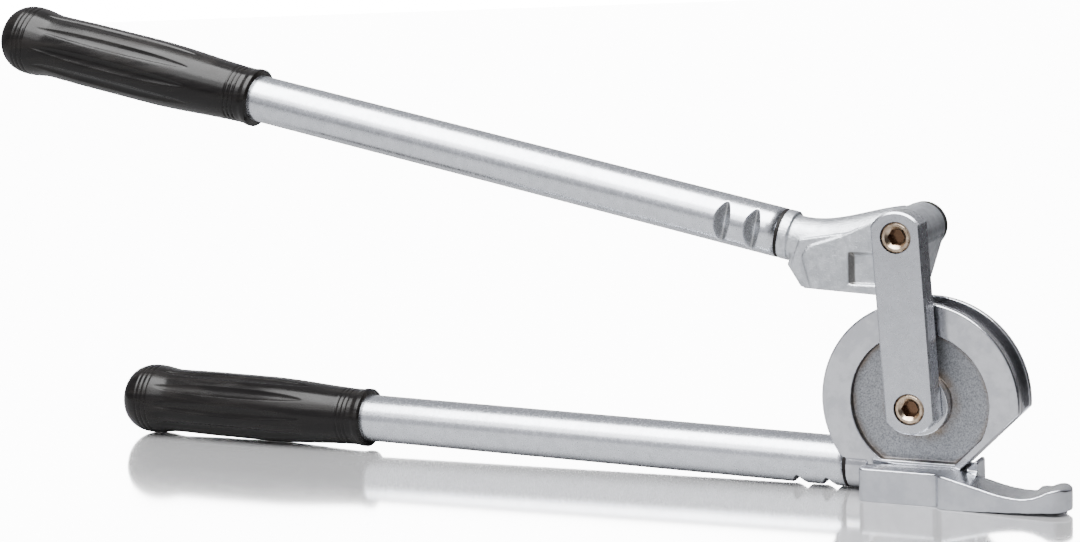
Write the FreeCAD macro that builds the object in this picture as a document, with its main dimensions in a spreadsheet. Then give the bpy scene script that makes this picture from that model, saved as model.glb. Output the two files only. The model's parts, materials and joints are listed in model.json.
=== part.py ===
"""Lever tube bender: a grooved wheel on a fixed handle, a slide head on a lever handle,
one link bar between them, and a tube latch on a vertical screw under the wheel.

Frame of the part: +Z up, X along the handles, Y along the wheel's axis, millimetres.
The origin is on the table plane, straight below the wheel's centre.
Most pieces are drawn in the wheel's frame, whose origin is the wheel's centre,
and their Placement lifts them by the height of the wheel's axis.
"""
import FreeCAD, Part
import math
import os
import Sketcher

Vector = FreeCAD.Vector
Rotation = FreeCAD.Rotation
Placement = FreeCAD.Placement

doc = FreeCAD.newDocument("TubeBender")
sheet = doc.addObject("Spreadsheet::Sheet", "Sizes")

SIZES = {
    # the tube that is bent, and the wheel that it is bent round
    "axis_height": 37.65,
    "bend_radius": 38.1,
    "groove_radius": 6.4,
    "wheel_radius": 40.0,
    "wheel_width": 18.6,
    "wheel_drop": 25.8,
    "wheel_cut_reach": 41.8,
    "groove_start": 30.0,
    "groove_end": 190.0,
    "web_radius": 28.0,
    "web_drop": 23.3,
    "web_cut_reach": 37.9,
    "web_depth": 3.0,
    "hub_radius": 12.4,
    "hub_half_width": 11.45,
    "edge_break": 0.4,
    # link bar and the two pivots
    "link_front": 21.6,
    "link_back": 11.5,
    "link_half_width": 9.9,
    "link_end_radius": 11.8,
    "link_reach": 10.0,
    "link_break": 0.7,
    "pivot_distance": 66.86,
    "link_lean": 3.96,
    "bolt_radius": 5.0,
    "bolt_fit": 0.04,
    "bolt_head_radius": 5.9,
    "bolt_sink": 0.2,
    "counterbore_radius": 6.2,
    "counterbore_depth": 5.9,
    "socket_width": 6.0,
    "socket_depth": 4.6,
    "socket_mouth_radius": 4.4,
    "socket_mouth_depth": 1.3,
    "bolt_chamfer": 0.6,
    "bolt_proud": 1.2,
    "bolt_seat_fit": 0.02,
    "thread_radius": 4.0,
    "bush_radius": 7.0,
    "bush_half_length": 11.4,
    "bush_fit": 0.01,
    "thrust_bore_radius": 7.1,
    "thrust_radius": 8.8,
    "thrust_seat_radius": 8.9,
    "thrust_thickness": 0.8,
    "thrust_proud": 0.02,
    "washer_front": 11.55,
    "washer_radius": 9.3,
    "washer_thickness": 4.0,
    "washer_chamfer": 0.5,
    "washer_fit": 0.1,
    "nut_width": 13.0,
    "nut_thickness": 6.4,
    "nut_hexagon_share": 0.72,
    "nut_collar_step": 0.4,
    "thread_fit": 0.02,
    # handles: both tubes, rings and grips share their sections
    "tube_radius": 10.0,
    "tube_bore_radius": 8.0,
    "spigot_radius": 7.96,
    "spigot_length": 36.0,
    "ring_thickness": 1.2,
    "ring_inset": 0.15,
    "collar_length": 4.1,
    "dent_radius": 3.6,
    "dent_depth": 1.6,
    "grip_bore_radius": 10.03,
    "grip_cap_radius": 7.0,
    "grip_cap_round": 10.6,
    "grip_cap_length": 12.0,
    "grip_flare_radius": 15.4,
    "grip_waist_place": 25.0,
    "grip_waist_radius": 14.0,
    "grip_belly_round": 1500.0,
    "grip_shoulder_place": 0.68,
    "grip_mouth_radius": 12.3,
    "grip_wall_end": 4.0,
    "handle_drop": 27.95,
    "handle_tilt": 0.925,
    "handle_start": 30.1,
    "handle_length": 342.6,
    "handle_grip_length": 122.0,
    "handle_dent_a": 8.4,
    "handle_dent_b": 20.9,
    "neck_length": 8.8,
    "relief_length": 14.0,
    "relief_gap": 0.06,
    "lever_x": 57.67,
    "lever_z": 63.44,
    "lever_tilt": 11.88,
    "lever_length": 378.3,
    "lever_grip_length": 131.0,
    "lever_dent_a": 10.9,
    "lever_dent_b": 23.8,
    # slide head with the forming shoe
    "neck_start_x": 55.66,
    "neck_start_z": 63.0,
    "neck_start_radius": 9.3,
    "neck_waist_x": 43.0,
    "neck_waist_z": 60.6,
    "neck_waist_radius": 9.4,
    "neck_middle_x": 26.0,
    "neck_middle_z": 62.3,
    "neck_middle_radius": 10.2,
    "neck_end_x": 8.0,
    "neck_end_z": 66.2,
    "neck_end_radius": 10.0,
    "shoe_slope": 2.86,
    "shoe_height": 41.25,
    "shoe_groove_radius": 6.5,
    "shoe_left": 48.4,
    "shoe_right": 0.5,
    "head_front": 10.6,
    "head_back": 9.5,
    "head_round": 2.2,
    "core_inset": 2.4,
    "plate_shoulder": 5.2,
    "plate_boss_low": 3.0,
    "plate_boss_high": 4.0,
    "plate_top_x": 29.0,
    "plate_top_z": 66.0,
    "plate_neck_x": 50.0,
    "plate_neck_z": 63.0,
    "plate_left_x": 54.0,
    "plate_left_z": 52.4,
    "face_height": 11.46,
    "face_thickness": 2.0,
    "face_left_x": 42.9,
    "face_left_rise": 2.35,
    "face_right_x": 2.0,
    "face_right_rise": 0.3,
    "face_right_top": 60.0,
    "face_boss_reach": 8.6,
    "face_boss_low": 4.0,
    "face_boss_high": 9.0,
    "face_top_x": 18.5,
    "face_top_z": 70.4,
    "face_bend_x": 30.3,
    "face_bend_z": 64.9,
    "face_corner_x": 42.2,
    "face_corner_z": 61.0,
    "face_corner_round": 6.5,
    "face_side_x": 46.3,
    "face_side_z": 55.7,
    "boss_radius": 9.5,
    "boss_half_width": 11.45,
    "window_left": 25.6,
    "window_right": 10.0,
    "window_low": 46.2,
    "window_high": 57.1,
    "window_depth": 2.2,
    "window_draft": 2.1,
    # tube latch
    "latch_pin_x": 12.0,
    "latch_left": 21.5,
    "latch_front": 21.6,
    "latch_back": 8.5,
    "latch_height": 13.05,
    "latch_plate_height": 11.65,
    "latch_end_radius": 7.6,
    "latch_corner": 3.0,
    "block_back": 9.4,
    "block_step": 18.0,
    "block_slant_right": 10.0,
    "block_slant_front": 15.0,
    "lever_front": 25.0,
    "lever_back": 8.0,
    "lever_tip": 62.4,
    "lever_tip_round": 8.2,
    "lever_step_left": 8.5,
    "lever_step_right": 14.5,
    "lever_bend_x": 40.0,
    "lever_bend_round": 160.0,
    "tip_inset": 0.4,
    "tip_lead": 1.3,
    "tip_side": 9.0,
    "scoop_start_x": 14.0,
    "scoop_middle_x": 34.0,
    "scoop_middle_z": 7.85,
    "scoop_middle_round": 60.0,
    "scoop_low_x": 44.0,
    "scoop_low_z": 6.55,
    "scoop_low_round": 18.0,
    "hump_start_x": 53.0,
    "hump_start_z": 8.85,
    "hump_start_round": 14.0,
    "hump_top_x": 58.5,
    "hump_top_z": 10.55,
    "hump_top_round": 12.0,
    "scoop_height": 10.0,
    "outline_margin": 2.0,
    "underside_start": 22.0,
    "underside_rise": 1.8,
    "plate_front_x": 10.0,
    "plate_back_x": 9.0,
    "plate_lap": 2.0,
    "plate_corner_cut": 4.0,
    "ear_lap": 0.2,
    "ear_root_x": 9.0,
    "ear_root_z": 2.0,
    "ear_right": 23.2,
    "ear_top": 15.8,
    "ear_back": 1.8,
    "ear_corner": 0.8,
    "ear_gap": 1.3,
    "hook_left": 44.65,
    "hook_right": 56.0,
    "hook_back": 7.0,
    "hook_height": 4.9,
    "hook_lap": 3.0,
    "hook_side": 1.0,
    "hook_slant": 5.0,
    "hook_corner": 1.5,
    "pin_shank_radius": 4.0,
    "pin_hole_radius": 4.05,
    "pin_head_radius": 6.2,
    "pin_head_height": 3.0,
    "pin_head_gap": 0.4,
    "pin_recess_radius": 6.6,
    "pin_thread_radius": 3.0,
    "pin_thread_length": 9.5,
    "pin_thread_fit": 0.01,
    "pin_hole_spare": 0.6,
    "pin_chamfer": 0.5,
    "pin_head_sink": 0.3,
    "pin_shoulder_gap": 0.02,
    "pin_socket_width": 4.0,
    "pin_socket_depth": 2.0,
}

for row, (alias, number) in enumerate(SIZES.items(), start=1):
    sheet.set("A%d" % row, alias)
    sheet.set("B%d" % row, repr(number))
    sheet.setAlias("B%d" % row, alias)
doc.recompute()


class Size:
    """A number together with the sheet expression that gives it."""

    def __init__(self, value, text):
        self.value = value
        self.text = text

    def __add__(self, other):
        other = size(other)
        return Size(self.value + other.value, "(%s + %s)" % (self.text, other.text))

    def __sub__(self, other):
        other = size(other)
        return Size(self.value - other.value, "(%s - %s)" % (self.text, other.text))

    def __mul__(self, other):
        other = size(other)
        return Size(self.value * other.value, "(%s * %s)" % (self.text, other.text))

    def __truediv__(self, other):
        other = size(other)
        return Size(self.value / other.value, "(%s / %s)" % (self.text, other.text))

    def __neg__(self):
        return Size(-self.value, "(-1 * %s)" % self.text)

    def sine(self):
        return Size(math.sin(math.radians(self.value)), "sin(%s * 1 deg)" % self.text)

    def cosine(self):
        return Size(math.cos(math.radians(self.value)), "cos(%s * 1 deg)" % self.text)

    def root(self):
        return Size(math.sqrt(self.value), "sqrt(%s)" % self.text)


def size(item):
    """Turn a sheet alias or a plain number into a Size."""
    if isinstance(item, Size):
        return item
    if isinstance(item, str):
        return Size(SIZES[item], "Sizes.%s" % item)
    return Size(float(item), repr(float(item)))


# ---------------------------------------------------------------- drawing and feature helpers

def new_body(name):
    body = doc.addObject("PartDesign::Body", name)
    body.Label = name
    return body


def origin_feature(body, role):
    return [item for item in body.Origin.OriginFeatures if item.Role == role][0]


class Drawing:
    """A sketch on one of the body's origin planes, with every dimension bound to the sheet.

    On XZ_Plane the sketch's axes are X and Z and its normal is -Y, on XY_Plane X and Y with
    normal +Z, on YZ_Plane Y and Z with normal +X. Base and turn move the sketch in its plane.
    """

    def __init__(self, body, name, plane, height=0.0, base=(0.0, 0.0), turn=None, tip=None):
        self.sketch = body.newObject("Sketcher::SketchObject", name)
        self.sketch.AttachmentSupport = [(origin_feature(body, plane), "")]
        self.sketch.MapMode = "FlatFace"
        offsets = {"x": size(base[0]), "y": size(base[1]), "z": size(height)}
        place = Vector(offsets["x"].value, offsets["y"].value, offsets["z"].value)
        rotation = Rotation()
        if turn is not None:
            rotation = Rotation(Vector(0, 0, 1), turn.value)
        if tip is not None:
            rotation = Rotation(Vector(1, 0, 0), tip.value)
        self.sketch.AttachmentOffset = Placement(place, rotation)
        for letter, offset in offsets.items():
            self.sketch.setExpression("AttachmentOffset.Base.%s" % letter, offset.text)
        for angle in (turn, tip):
            if angle is not None:
                self.sketch.setExpression("AttachmentOffset.Rotation.Angle", angle.text + " * 1 deg")

    def bind(self, constraint, length):
        index = self.sketch.addConstraint(constraint)
        self.sketch.setExpression("Constraints[%d]" % index, length.text)

    def pin_point(self, geometry, end, x, y):
        self.bind(Sketcher.Constraint("DistanceX", -1, 1, geometry, end, x.value), x)
        self.bind(Sketcher.Constraint("DistanceY", -1, 1, geometry, end, y.value), y)

    def circle(self, x, y, radius):
        x, y, radius = size(x), size(y), size(radius)
        shape = Part.Circle(Vector(x.value, y.value, 0), Vector(0, 0, 1), radius.value)
        index = self.sketch.addGeometry(shape, False)
        self.pin_point(index, 3, x, y)
        self.bind(Sketcher.Constraint("Radius", index, radius.value), radius)
        return self

    def outline(self, points):
        """A closed outline. A point is (x, y), or (x, y, radius) where the run from it to the
        next point is an arc: a positive radius bulges to the right of the run, a negative one
        to the left."""
        points = [tuple(size(item) for item in point) for point in points]
        edges = []
        for here, after in zip(points, points[1:] + points[:1]):
            start = Vector(here[0].value, here[1].value, 0)
            end = Vector(after[0].value, after[1].value, 0)
            if len(here) == 2:
                index = self.sketch.addGeometry(Part.LineSegment(start, end), False)
                edges.append((index, 1, 2))
                continue
            chord = end - start
            bend = here[2].value
            left = Vector(-chord.y, chord.x, 0).normalize()
            sag = math.sqrt(bend * bend - chord.Length ** 2 / 4)
            centre = (start + end) * 0.5 + left * math.copysign(sag, bend)
            # arcs are stored counter-clockwise, so a clockwise run is stored end to start
            first, last = (start, end) if bend > 0 else (end, start)
            angles = [math.atan2(point.y - centre.y, point.x - centre.x) for point in (first, last)]
            circle = Part.Circle(centre, Vector(0, 0, 1), abs(bend))
            index = self.sketch.addGeometry(Part.ArcOfCircle(circle, angles[0], angles[1]), False)
            edges.append((index, 1, 2) if bend > 0 else (index, 2, 1))
            radius = here[2] if bend > 0 else -here[2]
            self.bind(Sketcher.Constraint("Radius", index, abs(bend)), radius)
        for (index, first, last), (following, start, end) in zip(edges, edges[1:] + edges[:1]):
            self.sketch.addConstraint(Sketcher.Constraint("Coincident", index, last, following, start))
        for (index, first, last), point in zip(edges, points):
            self.pin_point(index, first, point[0], point[1])
        return self

    def box(self, left, low, right, high):
        return self.outline([(left, low), (right, low), (right, high), (left, high)])

    def hexagon(self, x, y, width):
        """A hexagon given by the distance across its flats, flats at its top and bottom."""
        corner = size(width) / 3 ** 0.5
        points = []
        for step in range(6):
            turn = math.radians(60 * step)
            points.append((size(x) + corner * math.cos(turn), size(y) + corner * math.sin(turn)))
        return self.outline(points)


def feature(body, kind, name, drawing):
    """Add one sketch-based feature."""
    item = body.newObject("PartDesign::" + kind, name)
    item.Profile = (drawing.sketch, [""])
    return item


def finish(body, item):
    before = item.BaseFeature.Shape.Volume if item.BaseFeature else 0.0
    doc.recompute()
    after = item.Shape.Volume
    cutting = item.TypeId.split("::")[1] in ("Pocket", "Groove", "Chamfer", "Fillet")
    if cutting and abs(after - before) < 0.01:
        raise ValueError("%s of %s changes nothing" % (item.Name, body.Label))
    if not cutting and after < before + 0.01:
        raise ValueError("%s of %s adds nothing" % (item.Name, body.Label))
    body.Tip = item
    return item


def pad(body, name, drawing, length, backwards=False):
    """Pad along the sketch's normal, or against it: on XZ_Plane the normal is -Y."""
    item = feature(body, "Pad", name, drawing)
    item.Length = size(length).value
    item.setExpression("Length", size(length).text)
    item.Reversed = backwards
    return finish(body, item)


def pocket(body, name, drawing, depth=None, forwards=False):
    """Cut against the sketch's normal, or along it, to a depth or right through both ways."""
    item = feature(body, "Pocket", name, drawing)
    if depth is None:
        item.SideType = "Symmetric"
        item.Type = "ThroughAll"
    else:
        item.Length = size(depth).value
        item.setExpression("Length", size(depth).text)
        item.Reversed = forwards
    return finish(body, item)


def revolve(body, name, drawing, axis="H_Axis", kind="Revolution"):
    """Turn a profile round an axis of its sketch, adding it or, as a Groove, cutting it."""
    item = feature(body, kind, name, drawing)
    item.ReferenceAxis = (drawing.sketch, [axis])
    item.Angle = 360
    return finish(body, item)


def dress(body, kind, name, amount, wanted):
    """Fillet or chamfer the edges of the body's tip that the test accepts."""
    base = body.Tip
    names = ["Edge%d" % (i + 1) for i, edge in enumerate(base.Shape.Edges) if wanted(edge)]
    if not names:
        raise ValueError("%s of %s finds no edge" % (name, body.Label))
    item = body.newObject("PartDesign::" + kind, name)
    item.Base = (base, names)
    property_name = "Radius" if kind == "Fillet" else "Size"
    setattr(item, property_name, size(amount).value)
    item.setExpression(property_name, size(amount).text)
    return finish(body, item)


def middle(edge):
    return edge.valueAt((edge.FirstParameter + edge.LastParameter) / 2)


def is_round(edge, radius, tolerance=0.05):
    return edge.Curve.TypeId == "Part::GeomCircle" and abs(edge.Curve.Radius - radius) < tolerance


def place(body, x=0.0, z=0.0, turn=None, height="axis_height"):
    """Place a body that is drawn in the wheel's frame, or round a turned local origin."""
    x, z = size(x), size(z) + size(height)
    rotation = Rotation()
    if turn is not None:
        rotation = Rotation(Vector(0, 1, 0), turn.value)
    body.Placement = Placement(Vector(x.value, 0, z.value), rotation)
    body.setExpression("Placement.Base.x", x.text)
    body.setExpression("Placement.Base.z", z.text)
    if turn is not None:
        body.setExpression("Placement.Rotation.Angle", turn.text + " * 1 deg")


# ---------------------------------------------------------------- places worked out from the sizes

half_width = size("wheel_width") / 2
handle_axis = (
    -size("handle_drop") * size("handle_tilt").sine(),
    -size("handle_drop") * size("handle_tilt").cosine(),
)
handle_root = (
    handle_axis[0] - size("handle_start") * size("handle_tilt").cosine(),
    handle_axis[1] + size("handle_start") * size("handle_tilt").sine(),
)
head_pivot = (
    -size("pivot_distance") * size("link_lean").sine(),
    size("pivot_distance") * size("link_lean").cosine(),
)


# ---------------------------------------------------------------- forming wheel

def wheel_outline(radius, drop, reach):
    """A disc with a flat bottom and a 45 degree cut at its lower right."""
    radius, drop, reach = size(radius), size(drop), size(reach)
    low_left = -(radius * radius - drop * drop).root()
    # the cut is the line x - z = reach
    spread = (radius * radius * 2 - reach * reach).root()
    corner_x = (reach + spread) / 2
    corner_z = (spread - reach) / 2
    top = size(0)
    return [
        (low_left, -drop),
        (reach - drop, -drop),
        (corner_x, corner_z, radius),
        (top, radius, radius),
        (-radius, top, radius),
    ]


def build_forming_wheel():
    body = new_body("forming_wheel")
    disc = Drawing(body, "WheelOutline", "XZ_Plane", half_width)
    disc.outline(wheel_outline("wheel_radius", "wheel_drop", "wheel_cut_reach"))
    pad(body, "Disc", disc, "wheel_width", backwards=True)

    # the rim is cut away round the end of the handle tube and its ring
    relief = Drawing(body, "TubeRelief", "XZ_Plane", base=handle_root, turn=-size("handle_tilt"))
    relief.box(-size("relief_length"), 0, 0, size("tube_radius") + size("relief_gap"))
    revolve(body, "HandleRelief", relief, kind="Groove")

    collar = Drawing(body, "NeckProfile", "XZ_Plane", base=handle_root, turn=-size("handle_tilt"))
    collar.outline([
        (-size("spigot_length"), 0),
        (-size("spigot_length"), "spigot_radius"),
        (0, "spigot_radius"),
        (0, "tube_radius"),
        ("neck_length", "tube_radius"),
        ("neck_length", 0),
    ])
    revolve(body, "HandleNeck", collar)

    for side, name in ((-1, "Front"), (1, "Back")):
        backwards = side < 0
        hub = Drawing(body, name + "HubCircle", "XZ_Plane", size("hub_half_width") * -side)
        hub.circle(0, 0, "hub_radius")
        pad(body, name + "Hub", hub, size("hub_half_width"), backwards=backwards)

    for side, name in ((-1, "Front"), (1, "Back")):
        web = Drawing(body, name + "WebOutline", "XZ_Plane", half_width * -side)
        web.outline(wheel_outline("web_radius", "web_drop", "web_cut_reach"))
        web.circle(0, 0, "hub_radius")
        pocket(body, name + "Web", web, "web_depth", forwards=side > 0)

    groove = Drawing(body, "GrooveSection", "XY_Plane")
    reach = size("bend_radius")
    outer = size("wheel_radius") + 6
    radius = size("groove_radius")
    groove.outline([
        (reach, -radius),
        (outer, -radius),
        (outer, radius),
        (reach, radius, radius),
        (reach - radius, 0, radius),
    ])
    item = feature(body, "Groove", "TubeGroove", groove)
    item.ReferenceAxis = (origin_feature(body, "Y_Axis"), [""])
    item.Type = "TwoAngles"
    item.Reversed = True
    for property_name, alias in (("Angle", "groove_end"), ("Angle2", "groove_start")):
        setattr(item, property_name, SIZES[alias])
        item.setExpression(property_name, size(alias).text)
    finish(body, item)

    bore = Drawing(body, "BushBore", "XZ_Plane")
    bore.circle(0, 0, "bush_radius")
    pocket(body, "Bore", bore)

    seat = Drawing(body, "ThrustSeat", "XZ_Plane", "hub_half_width")
    seat.circle(0, 0, "thrust_seat_radius")
    pocket(body, "ThrustRecess", seat, "thrust_thickness")

    latch_hole = Drawing(body, "LatchScrewHole", "XY_Plane", -size("wheel_drop"))
    latch_hole.circle(-size("latch_pin_x"), 0, "pin_thread_radius")
    hole_depth = size("pin_thread_length") + size("pin_hole_spare")
    pocket(body, "LatchThread", latch_hole, hole_depth, forwards=True)

    flange = SIZES["wheel_radius"]
    faces = SIZES["wheel_width"] / 2
    dress(body, "Chamfer", "RimBreak", "edge_break",
          lambda edge: is_round(edge, flange) and abs(abs(middle(edge).y) - faces) < 0.01)
    place(body)
    return body


# ---------------------------------------------------------------- handles

def build_ring(name, root, tilt):
    body = new_body(name)
    profile = Drawing(body, "RingProfile", "XZ_Plane")
    profile.box(-size("ring_thickness"), "tube_bore_radius", 0, size("tube_radius") - "ring_inset")
    revolve(body, "Ring", profile)
    place(body, root[0], root[1], tilt)
    return body


def build_tube(name, root, tilt, length, dents, dents_below):
    """A steel tube on a casting's spigot, crimped by two dents."""
    body = new_body(name)
    profile = Drawing(body, "TubeProfile", "XZ_Plane")
    end = -(size(length) - size("grip_wall_end"))
    profile.box(end, "tube_bore_radius", -size("ring_thickness"), "tube_radius")
    revolve(body, "Tube", profile)
    away = size("tube_radius") + size("dent_radius") - size("dent_depth")
    marks = Drawing(body, "DentCircles", "XZ_Plane" if dents_below else "XY_Plane")
    for dent in dents:
        marks.circle(-size(dent), -away, "dent_radius")
    pocket(body, "Dents", marks)
    place(body, root[0], root[1], tilt)
    return body


def build_grip(name, root, tilt, length, grip_length):
    """A moulded grip, closed at its flared outer end and narrower at its mouth."""
    body = new_body(name)
    tip = -size(length)
    mouth = tip + size(grip_length)
    shoulder = tip + size(grip_length) * size("grip_shoulder_place")
    profile = Drawing(body, "GripProfile", "XZ_Plane")
    profile.outline([
        (tip, 0),
        (tip, "grip_cap_radius", -size("grip_cap_round")),
        (tip + size("grip_cap_length"), "grip_flare_radius"),
        (tip + size("grip_waist_place"), "grip_waist_radius", -size("grip_belly_round")),
        (shoulder, "grip_waist_radius"),
        (mouth, "grip_mouth_radius"),
        (mouth, "grip_bore_radius"),
        (tip + size("grip_wall_end"), "grip_bore_radius"),
        (tip + size("grip_wall_end"), 0),
    ])
    revolve(body, "Grip", profile)
    place(body, root[0], root[1], tilt)
    return body


# ---------------------------------------------------------------- slide head

def build_slide_head():
    """The lever's casting: collar and spigot, round neck, pivot boss and forming shoe."""
    body = new_body("slide_head")
    slope = size("shoe_slope")
    fall = slope.sine() / slope.cosine()
    height = size("shoe_height") / slope.cosine()
    left, right = size("shoe_left"), size("shoe_right")

    sections = []
    for stage in ("start", "waist", "middle", "end"):
        place_x, place_z = -size("neck_%s_x" % stage), size("neck_%s_z" % stage)
        section = Drawing(body, "Neck" + stage.title(), "YZ_Plane", place_x, base=(0.0, place_z))
        section.circle(0, 0, "neck_%s_radius" % stage)
        sections.append(section.sketch)
    loft = body.newObject("PartDesign::AdditiveLoft", "Neck")
    loft.Profile = (sections[0], [""])
    loft.Sections = [(item, [""]) for item in sections[1:]]
    finish(body, loft)

    collar = Drawing(body, "CollarProfile", "XZ_Plane",
                     base=(-size("lever_x"), "lever_z"), turn=-size("lever_tilt"))
    collar.outline([
        (-size("spigot_length"), 0),
        (-size("spigot_length"), "spigot_radius"),
        (0, "spigot_radius"),
        (0, "tube_radius"),
        ("collar_length", "tube_radius"),
        ("collar_length", 0),
    ])
    revolve(body, "Collar", collar)

    boss = Drawing(body, "BossCircle", "XZ_Plane", "boss_half_width")
    boss.circle(head_pivot[0], head_pivot[1], "boss_radius")
    pad(body, "Boss", boss, size("boss_half_width") * 2, backwards=True)

    # the shoe's plate steps in towards both faces, which rounds its left edge
    for name, front, back, inset in (
        ("Core", size("head_front") - "core_inset", size("head_back") - "core_inset", size(0)),
        ("Plate", size("head_front"), size("head_back"), size("head_round")),
    ):
        plate = Drawing(body, name + "Outline", "XZ_Plane", front)
        plate.outline([
            (-left + inset, height + (left - inset) * fall),
            (-right, height + right * fall),
            (-right, height + "plate_shoulder"),
            (head_pivot[0] + "boss_radius", head_pivot[1] - "plate_boss_low"),
            (head_pivot[0], head_pivot[1] + "plate_boss_high"),
            (-size("plate_top_x"), "plate_top_z"),
            (inset - "plate_neck_x", "plate_neck_z"),
            (inset - "plate_left_x", "plate_left_z"),
        ])
        pad(body, name, plate, front + back, backwards=True)

    face = Drawing(body, "FaceOutline", "XZ_Plane", "face_height")
    face.outline([
        (-size("face_left_x"), height + "face_left_rise"),
        (-size("face_right_x"), height + "face_right_rise"),
        (-size("face_right_x"), "face_right_top"),
        (head_pivot[0] + "face_boss_reach", head_pivot[1] - "face_boss_low"),
        (head_pivot[0], head_pivot[1] + "face_boss_high"),
        (-size("face_top_x"), "face_top_z"),
        (-size("face_bend_x"), "face_bend_z"),
        (-size("face_corner_x"), "face_corner_z", "face_corner_round"),
        (-size("face_side_x"), "face_side_z"),
    ])
    pad(body, "Face", face, "face_thickness", backwards=True)

    window = Drawing(body, "WindowOutline", "XZ_Plane", "face_height")
    window.box(-size("window_left"), "window_low", -size("window_right"), "window_high")
    pocket(body, "Window", window, "window_depth")
    face_y = -SIZES["face_height"]
    dress(body, "Chamfer", "WindowDraft", "window_draft",
          lambda edge: abs(middle(edge).y - face_y) < 0.01 and (
              abs(middle(edge).x + SIZES["window_left"]) < 0.01
              or abs(middle(edge).z - SIZES["window_high"]) < 0.01))

    groove = Drawing(body, "ShoeGroove", "YZ_Plane", size("bend_radius") * slope.sine(),
                     base=(0.0, size("bend_radius") * slope.cosine()), tip=slope)
    groove.circle(0, 0, "shoe_groove_radius")
    pocket(body, "TubeSeat", groove)

    bore = Drawing(body, "BushBore", "XZ_Plane")
    bore.circle(head_pivot[0], head_pivot[1], "bush_radius")
    pocket(body, "Bore", bore)

    seat = Drawing(body, "ThrustSeat", "XZ_Plane", "face_height")
    seat.circle(head_pivot[0], head_pivot[1], "thrust_seat_radius")
    recess_depth = size("thrust_thickness") + size("face_height") - size("hub_half_width")
    pocket(body, "ThrustRecess", seat, recess_depth)
    place(body)
    return body


# ---------------------------------------------------------------- link bar, bolts and bushes

def build_link_bar():
    body = new_body("link_bar")
    half, reach = size("link_half_width"), size("link_reach")
    bend, far = size("link_end_radius"), size("pivot_distance")
    # where the end arc, whose top is one reach past the pivot, meets the bar's sides
    corner = reach - bend + (bend * bend - half * half).root()
    outline = Drawing(body, "BarOutline", "XZ_Plane", "link_front")
    outline.outline([
        (-half, -corner, bend),
        (half, -corner),
        (half, far + corner, bend),
        (-half, far + corner),
    ])
    pad(body, "Bar", outline, size("link_front") - size("link_back"), backwards=True)
    faces = (-SIZES["link_front"], -SIZES["link_back"])
    dress(body, "Chamfer", "EdgeBreak", "link_break",
          lambda edge: min(abs(middle(edge).y - face) for face in faces) < 0.01)
    bores = Drawing(body, "BoltHoles", "XZ_Plane")
    seats = Drawing(body, "HeadSeats", "XZ_Plane", "link_front")
    for height in (0, "pivot_distance"):
        bores.circle(0, height, size("bolt_radius") + "bolt_seat_fit")
        seats.circle(0, height, "counterbore_radius")
    pocket(body, "Bores", bores)
    pocket(body, "Seats", seats, "counterbore_depth")
    place(body, turn=-size("link_lean"))
    return body


def build_pivot_bolt(name, x, z):
    """A socket-head shoulder bolt whose head sits sunk in the link bar."""
    body = new_body(name)
    head_front = size("bolt_sink") - size("link_front")
    head_back = size("counterbore_depth") - size("link_front")
    shoulder = size("washer_front")
    end = shoulder + size("washer_thickness") + size("nut_thickness") + size("bolt_proud")
    chamfer = size("bolt_chamfer")
    profile = Drawing(body, "BoltProfile", "XY_Plane")
    head = size("bolt_head_radius")
    profile.outline([
        (0, head_front),
        (head - chamfer, head_front),
        (head, head_front + chamfer),
        (head, head_back),
        ("bolt_radius", head_back),
        ("bolt_radius", shoulder),
        ("thread_radius", shoulder),
        ("thread_radius", end - chamfer),
        (size("thread_radius") - chamfer, end),
        (0, end),
    ])
    revolve(body, "Bolt", profile, "V_Axis")
    socket = Drawing(body, "Socket", "XZ_Plane", -head_front)
    socket.hexagon(0, 0, "socket_width")
    pocket(body, "HexSocket", socket, "socket_depth")
    mouth = Drawing(body, "SocketMouth", "XY_Plane")
    mouth.outline([
        (0, head_front),
        ("socket_mouth_radius", head_front),
        (size("socket_width") / 2, head_front + size("socket_mouth_depth")),
        (0, head_front + size("socket_mouth_depth")),
    ])
    revolve(body, "Mouth", mouth, "V_Axis", kind="Groove")
    place(body, x, z)
    return body


def build_bush(name, x, z):
    body = new_body(name)
    profile = Drawing(body, "BushProfile", "XY_Plane")
    half = size("bush_half_length")
    profile.box(size("bolt_radius") + size("bolt_fit"), -half, size("bush_radius") - "bush_fit", half)
    revolve(body, "Bush", profile, "V_Axis")
    place(body, x, z)
    return body


def build_thrust_ring(name, x, z):
    """A thin bronze ring, sunk in the casting round its bush, that the link bar slides on."""
    body = new_body(name)
    profile = Drawing(body, "RingProfile", "XY_Plane")
    front = -size("hub_half_width") - size("thrust_proud")
    profile.box("thrust_bore_radius", front, "thrust_radius", front + size("thrust_thickness"))
    revolve(body, "ThrustRing", profile, "V_Axis")
    place(body, x, z)
    return body


def build_washer(name, x, z):
    body = new_body(name)
    profile = Drawing(body, "WasherProfile", "XY_Plane")
    front = size("washer_front")
    outer = size("washer_radius")
    inner = size("thread_radius") + size("washer_fit")
    back = front + size("washer_thickness")
    profile.outline([
        (inner, front),
        (outer, front),
        (outer, back - size("washer_chamfer")),
        (outer - size("washer_chamfer"), back),
        (inner, back),
    ])
    revolve(body, "Washer", profile, "V_Axis")
    place(body, x, z)
    return body


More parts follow.
